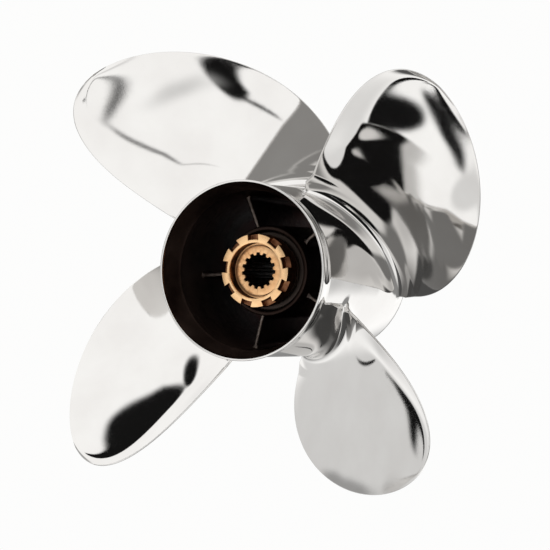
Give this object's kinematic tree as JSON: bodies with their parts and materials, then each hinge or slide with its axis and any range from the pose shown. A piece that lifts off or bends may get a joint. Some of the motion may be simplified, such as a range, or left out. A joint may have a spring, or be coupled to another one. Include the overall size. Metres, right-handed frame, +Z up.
{
  "type": "boat propeller",
  "caption": "Right-hand outboard boat propeller in polished steel with a through-hub exhaust barrel and a rubber-cushioned splined drive hub.",
  "frame": {"origin": "on the shaft axis, in the plane of the drive hub's forward thrust face, where the hub seats on the propeller shaft's thrust washer", "axes": "+Y runs forward along the shaft axis towards the gearcase, +Z is up with the shaft level, +X is to the right seen from behind"},
  "size_m": [0.3058, 0.1543, 0.3058],
  "materials": {
    "polished_steel": "mirror-polished stainless steel",
    "sooty_steel": "dark satin as-cast stainless steel, unpolished inside the exhaust passage",
    "bronze": "satin machined bronze",
    "black_rubber": "matt moulded black rubber"
  },
  "bodies": {
    "drive_hub": {"splined_insert": "bronze", "rubber_bush": "black_rubber"},
    "propeller": {"exhaust_barrel": "polished_steel", "flared_outlet_ring": "polished_steel", "inner_hub_tube": "sooty_steel", "exhaust_rib_1": "sooty_steel", "exhaust_rib_2": "sooty_steel", "exhaust_rib_3": "sooty_steel", "exhaust_rib_4": "sooty_steel", "exhaust_rib_5": "sooty_steel", "blade_1": "polished_steel", "blade_2": "polished_steel", "blade_3": "polished_steel", "blade_4": "polished_steel"}
  },
  "joints": [
    {"name": "hub_windup", "type": "hinge", "parent": "drive_hub", "child": "propeller", "pos_m": [0, 0, 0], "axis": [0, 1, 0], "range_deg": [-10, 10], "stiffness_Nm_per_rad": 2500}
  ]
}
